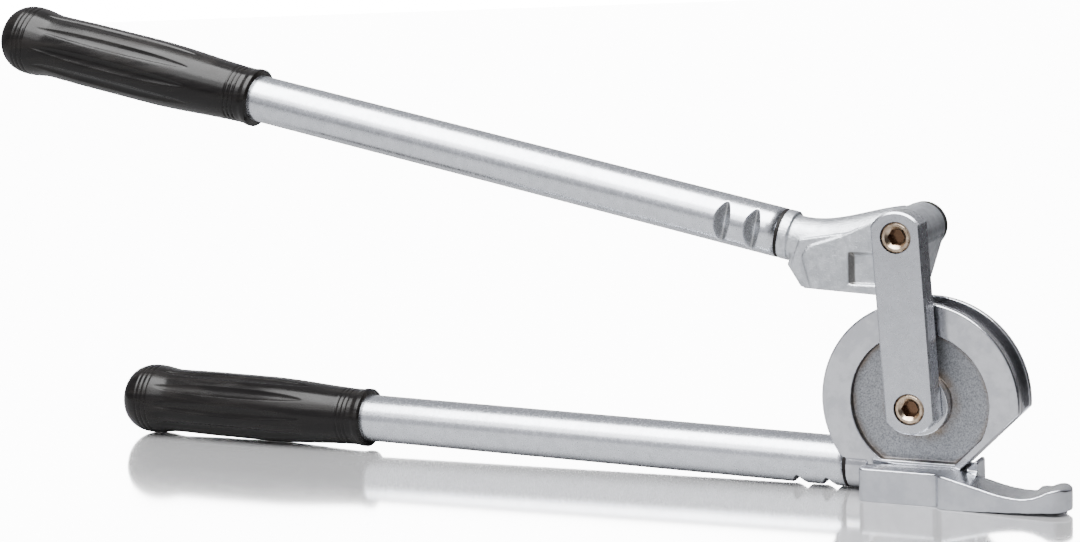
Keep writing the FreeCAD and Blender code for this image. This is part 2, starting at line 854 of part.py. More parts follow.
def build_nut(name, x, z):
    """A lock nut: a hexagon, and the round collar that holds its locking insert."""
    body = new_body(name)
    front = size("washer_front") + size("washer_thickness") + size("thread_fit")
    hexagon = Drawing(body, "NutHexagon", "XZ_Plane", -front)
    hexagon.hexagon(0, 0, "nut_width")
    hexagon.circle(0, 0, size("thread_radius") + "thread_fit")
    pad(body, "Hexagon", hexagon, size("nut_thickness") * size("nut_hexagon_share"), backwards=True)
    collar = Drawing(body, "NutCollar", "XZ_Plane", -front)
    collar.circle(0, 0, size("nut_width") / 2 - "nut_collar_step")
    collar.circle(0, 0, size("thread_radius") + "thread_fit")
    pad(body, "Collar", collar, "nut_thickness", backwards=True)
    place(body, x, z)
    return body


# ---------------------------------------------------------------- tube latch

def build_tube_latch():
    """The latch turns on a screw under the wheel: a block and finger lever in front, a plate
    under the wheel, an ear beside the wheel, and a hook on the far side of the tube."""
    body = new_body("tube_latch")
    front, lever_front, lever_back = size("latch_front"), size("lever_front"), size("lever_back")
    left, corner = size("latch_left"), size("latch_corner")
    tip, tip_round = size("lever_tip"), size("lever_tip_round")
    step_left, step_right = size("lever_step_left"), size("lever_step_right")
    step_mid = (step_left + step_right) / 2
    step_half = (lever_front - front) / 2
    step_run = (step_right - step_left) / 2
    step_bend = (step_run * step_run + step_half * step_half) / step_half / 2

    arm = Drawing(body, "ArmOutline", "XY_Plane")
    arm.outline([
        (-left + corner, -front),
        (step_left, -front, -step_bend),
        (step_mid, -front - step_half, step_bend),
        (step_right, -lever_front),
        ("lever_bend_x", -lever_front, "lever_bend_round"),
        (tip - tip_round + "tip_inset", -lever_front + "tip_lead", tip_round),
        (tip, -lever_front + "tip_side", tip_round),
        (tip - tip_round + "tip_inset", -lever_back),
        ("block_step", -lever_back),
        ("block_step", -size("block_back")),
        (-size("block_slant_right"), -size("block_back")),
        (-left, -size("block_slant_front")),
        (-left, -front + corner, corner),
    ])
    pad(body, "Arm", arm, "latch_height")

    top = Drawing(body, "LeverTop", "XZ_Plane")
    high = size("latch_height") + size("scoop_height")
    beyond = tip + size("outline_margin")
    block_top = size("latch_height")
    top.outline([
        ("scoop_start_x", block_top),
        ("scoop_middle_x", "scoop_middle_z", "scoop_middle_round"),
        ("scoop_low_x", "scoop_low_z", "scoop_low_round"),
        ("hump_start_x", "hump_start_z", -size("hump_start_round")),
        ("hump_top_x", "hump_top_z", -size("hump_top_round")),
        (beyond, "hump_start_z"),
        (beyond, high),
        ("scoop_start_x", high),
    ])
    pocket(body, "LeverScoop", top)

    plate = Drawing(body, "PlateOutline", "XY_Plane")
    pin, end = size("latch_pin_x"), size("latch_end_radius")
    back = size("latch_back")
    plate.outline([
        (-pin, -end),
        (-size("plate_front_x"), -lever_back - "plate_lap"),
        ("ear_right", -lever_back - "plate_lap"),
        ("ear_right", "ear_back"),
        (size("ear_right") - "plate_corner_cut", back),
        (-size("plate_back_x"), back),
        (-pin, end, end),
        (-pin - end, 0, end),
    ])
    pad(body, "UnderPlate", plate, "latch_plate_height")

    ear = Drawing(body, "EarOutline", "XZ_Plane", lever_back + size("ear_lap"))
    # the ear's upper left face runs along the wheel's 45 degree cut, one gap away
    reach = size("wheel_cut_reach") + size("ear_gap") * 2 ** 0.5 + size("axis_height") * -1
    ear.outline([
        ("ear_root_x", "ear_root_z"),
        ("ear_right", "ear_root_z"),
        ("ear_right", size("ear_top") - "ear_corner", "ear_corner"),
        (size("ear_right") - "ear_corner", "ear_top"),
        (reach + "ear_top", "ear_top"),
        (reach + "latch_plate_height", "latch_plate_height"),
        ("ear_root_x", "latch_plate_height"),
    ])
    pad(body, "Ear", ear, lever_back + size("ear_back") + size("ear_lap"), backwards=True)

    hook = Drawing(body, "HookOutline", "XY_Plane")
    hook.outline([
        ("hook_left", -lever_back - "hook_lap"),
        ("hook_right", -lever_back - "hook_lap"),
        ("hook_right", "hook_side"),
        (size("hook_right") - "hook_slant", "hook_back"),
        (size("hook_left") + "hook_corner", "hook_back"),
        ("hook_left", size("hook_back") - "hook_corner"),
    ])
    pad(body, "Hook", hook, "hook_height")

    # the underside rises towards the tip, so that only the block stands on the table
    under = Drawing(body, "UndersideOutline", "XZ_Plane")
    under.outline([
        ("underside_start", 0),
        ("underside_start", -size("outline_margin")),
        (beyond, -size("outline_margin")),
        (beyond, "underside_rise"),
    ])
    pocket(body, "Underside", under)

    hole = Drawing(body, "ScrewHole", "XY_Plane")
    hole.circle(-pin, 0, "pin_hole_radius")
    pocket(body, "ScrewClearance", hole)
    recess = Drawing(body, "ScrewRecess", "XY_Plane")
    recess.circle(-pin, 0, "pin_recess_radius")
    pocket(body, "HeadRecess", recess, size("pin_head_height") + size("pin_head_gap"), forwards=True)
    place(body, height=0.0)
    return body


def build_latch_screw():
    """A shoulder screw from below, screwed into the wheel's flat bottom."""
    body = new_body("latch_screw")
    low = size("pin_head_sink")
    head_top = low + size("pin_head_height")
    shoulder = size("axis_height") - size("wheel_drop") - size("pin_shoulder_gap")
    profile = Drawing(body, "ScrewProfile", "XZ_Plane")
    head, shank, thread = size("pin_head_radius"), size("pin_shank_radius"), size("pin_thread_radius")
    profile.outline([
        (0, low),
        (head - size("pin_chamfer"), low),
        (head, low + size("pin_chamfer")),
        (head, head_top),
        (shank, head_top),
        (shank, shoulder),
        (thread - size("pin_thread_fit"), shoulder),
        (thread - size("pin_thread_fit"), shoulder + size("pin_thread_length")),
        (0, shoulder + size("pin_thread_length")),
    ])
    revolve(body, "Screw", profile, "V_Axis")
    socket = Drawing(body, "Socket", "XY_Plane", low)
    socket.hexagon(0, 0, "pin_socket_width")
    pocket(body, "HexSocket", socket, "pin_socket_depth", forwards=True)
    place(body, x=-size("latch_pin_x"), height=0.0)
    return body


# ---------------------------------------------------------------- the assembly

handle_tilt = size("handle_tilt")
lever_tilt = size("lever_tilt")
lever_root = (-size("lever_x"), size("lever_z"))
wheel_pivot = (size(0), size(0))

pieces = [
    build_forming_wheel(),
    build_ring("fixed_handle_ring", handle_root, handle_tilt),
    build_tube("fixed_handle_tube", handle_root, handle_tilt, "handle_length",
               ("handle_dent_a", "handle_dent_b"), True),
    build_grip("fixed_handle_grip", handle_root, handle_tilt, "handle_length", "handle_grip_length"),
    build_slide_head(),
    build_ring("lever_handle_ring", lever_root, lever_tilt),
    build_tube("lever_handle_tube", lever_root, lever_tilt, "lever_length",
               ("lever_dent_a", "lever_dent_b"), False),
    build_grip("lever_handle_grip", lever_root, lever_tilt, "lever_length", "lever_grip_length"),
    build_link_bar(),
    build_tube_latch(),
    build_latch_screw(),
]
for pivot_name, (pivot_x, pivot_z) in (("wheel_pivot", wheel_pivot), ("head_pivot", head_pivot)):
    pieces.append(build_pivot_bolt(pivot_name + "_bolt", pivot_x, pivot_z))
    pieces.append(build_bush(pivot_name + "_bush", pivot_x, pivot_z))
    pieces.append(build_thrust_ring(pivot_name + "_thrust_ring", pivot_x, pivot_z))
    pieces.append(build_washer(pivot_name + "_washer", pivot_x, pivot_z))
    pieces.append(build_nut(pivot_name + "_nut", pivot_x, pivot_z))

doc.recompute()

for item in doc.Objects:
    if "Invalid" in item.State or "Error" in item.State:
        raise ValueError("%s (%s) has failed: %s" % (item.Name, item.Label, item.State))

os.makedirs("parts", exist_ok=True)
for piece in pieces:
    if piece.Shape.isNull() or not piece.Shape.isValid():
        raise ValueError("%s has no valid shape" % piece.Label)
    piece.Shape.exportStep("parts/%s.step" % piece.Label)
    box = piece.Shape.BoundBox
    print("%-22s solids %d volume %9.1f  x %7.1f %7.1f  y %6.1f %6.1f  z %6.1f %6.1f" % (
        piece.Label, len(piece.Shape.Solids), piece.Shape.Volume,
        box.XMin, box.XMax, box.YMin, box.YMax, box.ZMin, box.ZMax))
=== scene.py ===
"""Lever tube bender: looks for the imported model.

Lengths are metres in the row frame: +Z up, X along the fixed handle, Y along the wheel's axis.
The castings, handle tubes and grips are replaced by finer pieces of the same size, and the
other nodes keep their CAD meshes and get materials.
"""
import json
import math

import bmesh
import bpy
import numpy as np
from mathutils import Matrix, Vector


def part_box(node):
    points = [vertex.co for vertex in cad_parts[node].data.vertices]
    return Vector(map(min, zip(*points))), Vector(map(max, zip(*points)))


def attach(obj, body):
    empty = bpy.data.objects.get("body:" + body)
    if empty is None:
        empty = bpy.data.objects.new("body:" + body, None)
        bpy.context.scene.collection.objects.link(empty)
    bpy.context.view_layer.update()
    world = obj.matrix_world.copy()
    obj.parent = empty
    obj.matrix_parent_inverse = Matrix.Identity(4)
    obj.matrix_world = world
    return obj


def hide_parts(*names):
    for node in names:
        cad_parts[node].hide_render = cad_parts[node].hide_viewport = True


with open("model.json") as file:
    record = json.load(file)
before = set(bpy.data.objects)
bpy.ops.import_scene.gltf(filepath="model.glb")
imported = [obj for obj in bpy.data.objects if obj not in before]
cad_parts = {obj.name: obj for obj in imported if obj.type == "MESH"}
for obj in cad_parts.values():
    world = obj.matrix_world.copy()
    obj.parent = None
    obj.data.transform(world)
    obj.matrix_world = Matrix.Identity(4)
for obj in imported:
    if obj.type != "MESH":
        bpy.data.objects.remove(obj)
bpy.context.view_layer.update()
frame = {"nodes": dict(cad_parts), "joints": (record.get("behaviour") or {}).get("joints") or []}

MM = 0.001
joints = {joint["name"]: joint for joint in frame["joints"]}
wheel_centre = Vector(joints["link_swing"]["pos_m"])
head_pivot = Vector(joints["handle_pivot"]["pos_m"])

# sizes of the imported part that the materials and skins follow
HUB_RADIUS = 12.4 * MM
WEB_RADIUS = 28.0 * MM
WEB_FLOOR = 6.3 * MM
GROOVE_HALF_WIDTH = 6.4 * MM
TUBE_RADIUS = 10.0 * MM
RING_THICKNESS = 1.2 * MM

STUDIO_WIDTH = 18.0
# what a step goes from and to where it falls
BACKWARDS = 1.0, 0.0


# ---------------------------------------------------------------- camera

def add_camera():
    """A long lens in front of the wheel and to its right. The view was fitted with the handle
    level, so it is turned by the frame's own lean."""
    azimuth, elevation = math.radians(26.03), math.radians(9.66)
    roll, lean = math.radians(-0.87), math.radians(1.15)
    from_wheel = Vector((0.32627, -0.99864, 0.22329))
    back = Vector((math.sin(azimuth) * math.cos(elevation),
                   -math.cos(azimuth) * math.cos(elevation),
                   math.sin(elevation)))
    level = Vector((math.cos(azimuth), math.sin(azimuth), 0))
    upright = back.cross(level)
    right = level * math.cos(roll) + upright * math.sin(roll)
    up = upright * math.cos(roll) - level * math.sin(roll)
    turn = Matrix.Rotation(lean, 3, "Y")
    data = bpy.data.cameras.new("camera")
    data.sensor_width = 36
    data.lens = 90.45
    data.shift_x = -0.003
    data.clip_start = 0.05
    camera = bpy.data.objects.new("camera", data)
    columns = [turn @ right, turn @ up, turn @ back]
    facing = Matrix(columns).transposed().to_4x4()
    camera.matrix_world = Matrix.Translation(wheel_centre + from_wheel) @ facing
    bpy.context.scene.collection.objects.link(camera)
    bpy.context.scene.camera = camera


# ---------------------------------------------------------------- materials

class Nodes:
    """A short way to write a node tree. Textures read object coordinates, so they are fixed
    to the metal, and scales count features per metre."""

    def __init__(self, name):
        self.material = bpy.data.materials.new(name)
        self.material.use_nodes = True
        self.tree = self.material.node_tree
        self.shader = self.tree.nodes["Principled BSDF"]
        self.place = self.add("ShaderNodeTexCoord").outputs["Object"]

    def add(self, kind, **values):
        node = self.tree.nodes.new(kind)
        for key, value in values.items():
            setattr(node, key, value)
        return node

    def put(self, value, socket):
        if isinstance(value, bpy.types.NodeSocket):
            self.tree.links.new(value, socket)
        else:
            socket.default_value = value

    def noise(self, scale, detail=3.0, rough=0.55, stretch=(1, 1, 1)):
        mapping = self.add("ShaderNodeMapping")
        mapping.inputs["Scale"].default_value = stretch
        self.put(self.place, mapping.inputs["Vector"])
        noise = self.add("ShaderNodeTexNoise")
        noise.inputs["Scale"].default_value = scale
        noise.inputs["Detail"].default_value = detail
        noise.inputs["Roughness"].default_value = rough
        self.put(mapping.outputs["Vector"], noise.inputs["Vector"])
        return noise.outputs["Fac"]

    def math(self, operation, first, second=0.0):
        node = self.add("ShaderNodeMath", operation=operation)
        self.put(first, node.inputs[0])
        self.put(second, node.inputs[1])
        return node.outputs[0]

    def span(self, value, low, high, to_low=0.0, to_high=1.0):
        """A smooth step from to_low, where value is low, to to_high, where it is high."""
        node = self.add("ShaderNodeMapRange", interpolation_type="SMOOTHSTEP")
        for key, item in (("Value", value), ("From Min", low), ("From Max", high),
                          ("To Min", to_low), ("To Max", to_high)):
            self.put(item, node.inputs[key])
        return node.outputs["Result"]

    def band(self, value, low, high, soft=0.3 * MM):
        """One between low and high, and nought outside, with soft sides."""
        rise = self.span(value, low - soft, low + soft)
        return self.math("MULTIPLY", rise, self.span(value, high - soft, high + soft, 1.0, 0.0))

    def mix(self, amount, first, second):
        node = self.add("ShaderNodeMix", data_type="RGBA")
        self.put(amount, node.inputs[0])
        for value, socket in ((first, node.inputs[6]), (second, node.inputs[7])):
            self.put(value if isinstance(value, bpy.types.NodeSocket) else (*value, 1.0), socket)
        return node.outputs[2]

    def bump(self, height, distance):
        node = self.add("ShaderNodeBump")
        node.inputs["Strength"].default_value = 1.0
        node.inputs["Distance"].default_value = distance
        self.put(height, node.inputs["Height"])
        return node.outputs["Normal"]

    def axes(self):
        node = self.add("ShaderNodeSeparateXYZ")
        self.put(self.place, node.inputs[0])
        return node.outputs[0], node.outputs[1], node.outputs[2]

    def from_axis(self, centre):
        """The distance from an axis along Y through the centre, and the height above it."""
        x, _, z = self.axes()
        across = self.math("SUBTRACT", x, centre.x)
        above = self.math("SUBTRACT", z, centre.z)
        squares = self.math("ADD", self.math("MULTIPLY", across, across),
                            self.math("MULTIPLY", above, above))
        return self.math("SQRT", squares), above

    def painted_corner_shade(self, colour, shade_colour):
        """The colour with painted shade in the inner corners, which a finely meshed casting shows."""
        corner, flat, most = 0.45, 0.494, 0.85
        bend = self.add("ShaderNodeNewGeometry").outputs["Pointiness"]
        return self.mix(self.span(bend, corner, flat, most, 0.0), colour, shade_colour)

    def finish(self, colour, roughness, normal, metallic=1.0):
        self.put(colour, self.shader.inputs["Base Color"])
        self.put(roughness, self.shader.inputs["Roughness"])
        self.put(normal, self.shader.inputs["Normal"])
        self.shader.inputs["Metallic"].default_value = metallic
        return self.material


def window_wall_shade(m):
    """The sloping left and top sides of the slide head's window, which get painted shade."""
    x, y, z = m.axes()
    above = m.math("SUBTRACT", z, wheel_centre.z)
    left_side, window_height = (-27.5 * MM, -25.3 * MM), (46.0 * MM, 58.8 * MM)
    top_side, window_width = (57.6 * MM, 59.0 * MM), (-27.0 * MM, -10.0 * MM)
    face, below_face, top_share = -11.35 * MM, -11.0 * MM, 0.6
    left = m.math("MULTIPLY", m.band(x, *left_side), m.band(above, *window_height))
    top = m.math("MULTIPLY", m.band(above, *top_side), m.band(x, *window_width))
    either = m.math("MAXIMUM", left, m.math("MULTIPLY", top, top_share))
    return m.math("MULTIPLY", either, m.span(y, face, below_face))


def plated_metal(name, light, dark, rough, grain, grain_depth, mottle, cast=False,
                 window=False, dents=False):
    """Plated steel: patches of slightly different grey, with a fine grain. The last three say
    whether it gets painted shade in its inner corners, on the slide head's window walls and on
    the flanks of the handle tubes' dents."""
    m = Nodes(name)
    # The three colours below are painted shade: in inner corners, on the window's walls and on the
    # dents' flanks.
    corner_shade, window_shade, dent_flank_shade = (0.07, 0.065, 0.06), (0.21, 0.205, 0.195), (0.42, 0.427, 0.44)
    patches = m.span(m.noise(mottle, 5.0, 0.65), 0.38, 0.62)
    fine = m.noise(grain, 2.0)
    colour = m.mix(patches, dark, light)
    # painted shade in the inner corners of a casting
    if cast:
        colour = m.painted_corner_shade(colour, corner_shade)
    # painted shade on the window's left and top walls
    if window:
        colour = m.mix(window_wall_shade(m), colour, window_shade)
    # painted shade on the flanks of each dent
    if dents:
        pressed = m.add("ShaderNodeAttribute", attribute_name="pressed").outputs["Fac"]
        colour = m.mix(m.band(pressed, 0.12, 0.86, 0.10), colour, dent_flank_shade)
    roughness = m.span(m.noise(mottle * 3, 3.0), 0.3, 0.7, rough * 0.85, rough * 1.2)
    return m.finish(colour, roughness, m.bump(fine, grain_depth * MM))


def wheel_metal():
    """A polished rim and a blasted web with brown stain in its corners. The groove and the web's
    walls get painted shade, darker than the rim, and the inner corners get painted shade too."""
    m = Nodes("wheel_casting")
    rim_light, rim_dark = (0.63, 0.64, 0.67), (0.52, 0.53, 0.56)
    blast_light, blast_dark = (0.38, 0.39, 0.415), (0.18, 0.187, 0.20)
    # The groove, web wall and corner colours are painted shade; brown is a stain.
    brown, groove_shade = (0.20, 0.14, 0.08), (0.26, 0.26, 0.27)
    web_wall_shade, corner_shade = (0.09, 0.085, 0.08), (0.06, 0.05, 0.045)
    polished_rough, blasted_rough = (0.18,) * 3, (0.46,) * 3
    radius, above = m.from_axis(wheel_centre)
    depth = m.math("ABSOLUTE", m.axes()[1])

    sunk = m.span(depth, WEB_FLOOR + 0.3 * MM, WEB_FLOOR + 1.3 * MM, *BACKWARDS)
    inside = m.span(radius, WEB_RADIUS - 0.2 * MM, WEB_RADIUS + 0.6 * MM, *BACKWARDS)
    web = m.math("MULTIPLY", sunk, inside)
    grey = m.mix(m.span(m.noise(150, 5.0, 0.65), 0.38, 0.62), rim_dark, rim_light)
    blast = m.mix(m.span(m.noise(2000, 3.0, 0.75), 0.34, 0.66), blast_dark, blast_light)

    by_hub = m.span(radius, HUB_RADIUS, HUB_RADIUS + 5.1 * MM, *BACKWARDS)
    by_rim = m.span(radius, WEB_RADIUS - 2.8 * MM, WEB_RADIUS)
    corner = m.math("MULTIPLY", m.math("MAXIMUM", by_hub, by_rim), web)
    patches = m.span(m.noise(120, 4.0, 0.6), 0.30, 0.70, 0.1, 0.75)
    colour = m.mix(m.math("MULTIPLY", corner, patches), m.mix(web, grey, blast), brown)

    # painted shade in the groove between the flanges
    groove_start, groove_end = (29.0 * MM, 30.0 * MM), (40.5 * MM, 41.0 * MM)
    between = m.span(depth, GROOVE_HALF_WIDTH - 0.2 * MM, GROOVE_HALF_WIDTH + 0.2 * MM, *BACKWARDS)
    around = m.math("MULTIPLY", m.span(radius, *groove_start), m.span(radius, *groove_end, *BACKWARDS))
    colour = m.mix(m.math("MULTIPLY", between, around), colour, groove_shade)

    # painted shade on the web's walls, then in its inner corners
    flat_wall, wall_depth, soft = (-24.1 * MM, -22.7 * MM), (6.5 * MM, 8.9 * MM), 0.2 * MM
    round_wall = m.band(radius, WEB_RADIUS - 0.8 * MM, WEB_RADIUS + 0.8 * MM)
    side = m.math("MAXIMUM", round_wall, m.band(above, *flat_wall))
    wall = m.math("MULTIPLY", m.band(depth, *wall_depth, soft), side)
    colour = m.painted_corner_shade(m.mix(wall, colour, web_wall_shade), corner_shade)

    roughness = m.mix(web, polished_rough, blasted_rough)
    height = m.math("MULTIPLY", m.noise(1700, 2.0), m.span(web, 0, 1, 0.12, 1.0))
    return m.finish(colour, roughness, m.bump(height, 0.09 * MM))


def grip_plastic():
    """Glossy black moulded plastic with handling marks along its length."""
    m = Nodes("grip_plastic")
    streaks = m.noise(220, 5.0, 0.6, (0.12, 1, 1))
    moulded, handled = (0.004, 0.0036, 0.0035), (0.009, 0.0078, 0.0072)
    colour = m.mix(m.span(streaks, 0.4, 0.7), moulded, handled)
    roughness = m.span(streaks, 0.35, 0.7, 0.17, 0.34)
    m.shader.inputs["Specular IOR Level"].default_value = 0.24
    relief = m.noise(420, 4.0, 0.6, (0.2, 1, 1))
    return m.finish(colour, roughness, m.bump(relief, 0.035 * MM), metallic=0.0)


def dark_finish(name, colour, rough, metallic, gloss=0.5):
    """A dark finish, half as light again in places."""
    m = Nodes(name)
    m.shader.inputs["Specular IOR Level"].default_value = gloss
    cloud = m.span(m.noise(500, 4.0), 0.35, 0.65)
    shade = m.mix(cloud, colour, tuple(part * 1.5 for part in colour))
    roughness = m.span(m.noise(900, 3.0), 0.3, 0.7, rough * 0.8, rough * 1.2)
    return m.finish(shade, roughness, m.bump(m.noise(1500), 0.02 * MM), metallic)


def coloured_metal(name, light, dark, rough):
    """Bronze-toned plating, rubbed lighter in places."""
    m = Nodes(name)
    worn = m.span(m.noise(420, 4.0, 0.6), 0.35, 0.65)
    roughness = m.span(m.noise(700, 3.0), 0.3, 0.7, rough * 0.8, rough * 1.25)
    return m.finish(m.mix(worn, dark, light), roughness, m.bump(m.noise(1300), 0.015 * MM))


def bolt_metal():
    """Bronze-toned plating, with painted shade in dark brown at the bottom of each hexagon socket."""
    m = Nodes("bolt_steel")
    plated, rubbed, socket_shade = (0.40, 0.30, 0.21), (0.64, 0.52, 0.40), (0.13, 0.075, 0.045)
    socket_side, socket_depth = (3.5 * MM, 3.9 * MM), (-20.6 * MM, -19.6 * MM)
    worn = m.span(m.noise(420, 4.0, 0.6), 0.35, 0.65)
    colour = m.mix(worn, plated, rubbed)
    # painted shade at the bottom of each hexagon socket
    deep = m.span(m.axes()[1], *socket_depth)
    for centre in (wheel_centre, head_pivot):
        near = m.span(m.from_axis(centre)[0], *socket_side, *BACKWARDS)
        colour = m.mix(m.math("MULTIPLY", near, deep), colour, socket_shade)
    roughness = m.span(m.noise(700, 3.0), 0.3, 0.7, 0.18, 0.28)
    return m.finish(colour, roughness, m.bump(m.noise(1300), 0.015 * MM))


# ---------------------------------------------------------------- shapes

def new_piece(name, mesh, material, body, slot, *nodes):
    """A smooth-shaded piece on a body, in place of the CAD nodes that are named."""
    piece = bpy.data.objects.new(name, mesh)
    bpy.context.scene.collection.objects.link(piece)
    mesh.materials.clear()
    mesh.materials.append(material)
    for face in mesh.polygons:
        face.use_smooth = True
    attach(piece, body)
    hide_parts(*nodes)
    return piece


def slim_spigot(points, side):
    """Draw in the spigot inside a handle's tube, which the tube's dents would otherwise meet."""
    spigot_reach, slack, kept = 8.1 * MM, 0.1 * MM, 0.35
    start, axis, _ = node_axis(side, "tube")
    ring_start, _, ring_length = node_axis(side, "ring")
    end = (ring_start - start).dot(axis) + ring_length + slack
    for point in points:
        place = (point.co - start).dot(axis)
        middle = start + axis * place
        if 0 < place < end and (point.co - middle).length < spigot_reach:
            point.co = middle + (point.co - middle) * kept


def cast_piece(name, node, material, body, slot, voxel, passes, handle=None):
    """A casting's CAD mesh, remeshed and smoothed, which rounds its edges as casting does. A
    handle is named where the casting's spigot is inside that handle's tube."""
    source = frame["nodes"][node].data
    builder = bmesh.new()
    builder.from_mesh(source)
    bmesh.ops.remove_doubles(builder, verts=builder.verts, dist=1e-7)
    if handle:
        slim_spigot(builder.verts, handle)
    mesh = bpy.data.meshes.new(name)
    builder.to_mesh(mesh)
    builder.free()
    piece = new_piece(name, mesh, material, body, slot, node)
    remesh = piece.modifiers.new("Cast", "REMESH")
    remesh.mode = "VOXEL"
    remesh.voxel_size = voxel
    remesh.use_smooth_shade = True
    smooth = piece.modifiers.new("Round", "SMOOTH")
    smooth.factor = 0.5
    smooth.iterations = passes
    return piece


def lathe(name, radii_at, places, around, axis_point, axis, up):
    """A closed skin round an axis. radii_at(place, around) gives each ring's (angle, radius)
    pairs, with the angle measured from the direction up."""
    side = axis.cross(up)
    points, faces = [], []
    for place in places:
        for angle, radius in radii_at(place, around):
            out = up * math.cos(angle) + side * math.sin(angle)
            points.append(axis_point + axis * place + out * radius)
    for ring in range(len(places) - 1):
        for step in range(around):
            here = ring * around + step
            after = ring * around + (step + 1) % around
            faces.append((here, after, after + around, here + around))
    faces.append(tuple(reversed(range(around))))
    last = (len(places) - 1) * around
    faces.append(tuple(range(last, last + around)))
    mesh = bpy.data.meshes.new(name)
    mesh.from_pydata([tuple(point) for point in points], [], faces)
    builder = bmesh.new()
    builder.from_mesh(mesh)
    bmesh.ops.recalc_face_normals(builder, faces=builder.faces)
    builder.to_mesh(mesh)
    builder.free()
    return mesh


def node_axis(side, part):
    """(outer end, unit vector inwards, length) of a handle's node. The ring and the tube are
    plain discs round the handle's axis, so the middles of their boxes are both on it."""
    middles = []
    for piece in ("ring", "tube"):
        low, high = (Vector(corner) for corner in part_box(side + "_handle_" + piece))
        middles.append((low + high) / 2)
    root, inwards = middles[0], (middles[0] - middles[1]).normalized()
    points = frame["nodes"][side + "_handle_" + part].data.vertices
    reach = [(point.co - root).dot(inwards) for point in points]
    return root + inwards * min(reach), inwards, max(reach) - min(reach)


def blend_step(value, low, high):
    """A smooth step from nought at low to one at high."""
    share = min(1.0, max(0.0, (value - low) / (high - low)))
    return share * share * (3 - 2 * share)


def grip_radius(place, length):
    """The grip's plain outline in mm: a domed end, a flare, a waist, a long belly and a lip."""
    cap, end, flare, waist, belly, mouth, lip = 12.0, 7.0, 15.3, 14.0, 14.3, 12.1, 0.45
    waist_place, belly_place = 25.0, 45.0
    if place < cap:
        return end + (flare - end) * math.sqrt(max(0.0, 1 - (1 - place / cap) ** 2))
    outline = flare + (waist - flare) * blend_step(place, cap + 1, waist_place)
    outline += (belly - waist) * blend_step(place, waist_place, belly_place)
    outline += (mouth - belly) * blend_step(place, length * 0.58, length * 0.98)
    return outline + lip * blend_step(place, length - 4.0, length - 1.5)


def grip_mesh(name, side):
    """A grip with long flutes round its belly and thin turned rings near both ends."""
    start, axis, length = node_axis(side, "grip")
    length /= MM
    around, flutes, flute_depth, flute_width = 240, 10, 0.95, math.radians(10.5)
    ring_depth, ring_width = 0.34, 0.42
    flute_middle, flute_half = length * 0.46, length * 0.31
    rings = [10.0, 12.4, 14.8, length - 6.5, length - 8.6, length - 10.7]

    def ring_at(place, around):
        plain = grip_radius(place, length)
        plain -= sum(ring_depth * math.exp(-((place - ring) / ring_width) ** 2) for ring in rings)
        reach = 1 - ((place - flute_middle) / flute_half) ** 2
        width = flute_width * math.sqrt(reach) if reach > 0 else 0.0
        for step in range(around):
            angle = 2 * math.pi * step / around
            pitch = 2 * math.pi / flutes
            away = abs((angle + pitch / 2) % pitch - pitch / 2)
            cut = 0.0
            if width > 0 and away < width:
                cut = flute_depth * math.sqrt(reach) * (1 - (away / width) ** 2)
            yield angle, (plain - cut) * MM

    def placed(place, around):
        return ring_at(place / MM, around)

    places = list(np.concatenate([
        np.linspace(0.15, 2.0, 8), np.linspace(2.4, 18.0, 80), np.linspace(18.6, length - 14.0, 120),
        np.linspace(length - 13.7, length - 0.4, 70), [length],
    ]) * MM)
    return lathe(name, placed, places, around, start, axis, Vector((0, -1, 0)))


def tube_mesh(name, side_name, dents, dent_side):
    """A handle tube with two crimp dents, pressed in from one side by a blunt wedge. Dents are
    placed from the ring's far face, and "pressed" is how deep the metal went, from 0 to 1."""
    start, axis, length = node_axis(side_name, "tube")
    blunt, flank, depth, soft = 0.9 * MM, 1.65, 4.4 * MM, 0.22 * MM
    around, reach, gap_between, coarse_count = 160, 4.7 * MM, 0.25 * MM, 24
    end_gap = 0.3 * MM
    side = dent_side if dent_side.y else axis.cross(Vector((0, 1, 0)))
    if side.z > 0:
        side = -side
    middles = sorted(length + RING_THICKNESS - dent for dent in dents)

    def ring_at(place, around):
        rises = (flank * (math.hypot(place - middle, blunt) - blunt) for middle in middles)
        floor = TUBE_RADIUS - depth + min(rises)
        for step in range(around):
            angle = 2 * math.pi * step / around
            height = math.cos(angle) * TUBE_RADIUS
            if floor > TUBE_RADIUS * 1.5 or height < 0:
                yield angle, TUBE_RADIUS
                continue
            # a soft minimum of the tube's own height and the punch's
            gap = max(soft - abs(height - floor), 0.0) / soft
            pressed = min(height, floor) - gap * gap * soft / 4
            width = math.sin(angle) * TUBE_RADIUS
            yield math.atan2(width, pressed), math.hypot(width, pressed)

    coarse = np.linspace(0, middles[0] - reach - end_gap, coarse_count)
    last = min(middles[-1] + reach, length - end_gap)
    fine = np.arange(middles[0] - reach, last, gap_between)
    mesh = lathe(name, ring_at, [*coarse, *fine, length], around, start, axis, side)
    pressed = mesh.attributes.new("pressed", "FLOAT", "POINT")
    for point, share in zip(mesh.vertices, pressed.data):
        share.value = (TUBE_RADIUS - (point.co - start).cross(axis).length) / depth
    return mesh


# ---------------------------------------------------------------- stage

def flat_sheet(name, wide, tall):
    """A flat sheet of the studio, which isn't part of the object."""
    mesh = bpy.data.meshes.new(name)
    signs = ((-1, -1), (1, -1), (1, 1), (-1, 1))
    corners = [(wide / 2 * across, tall / 2 * up, 0) for across, up in signs]
    mesh.from_pydata(corners, [], [(0, 1, 2, 3)])
    sheet = bpy.data.objects.new(name, mesh)
    bpy.context.scene.collection.objects.link(sheet)
    return sheet


def turn_to(item, place, aim, front):
    """Put an item in its place with its front, such as "-Z", towards the aim."""
    item.location = place
    item.rotation_euler = (Vector(aim) - Vector(place)).to_track_quat(front, "Y").to_euler()


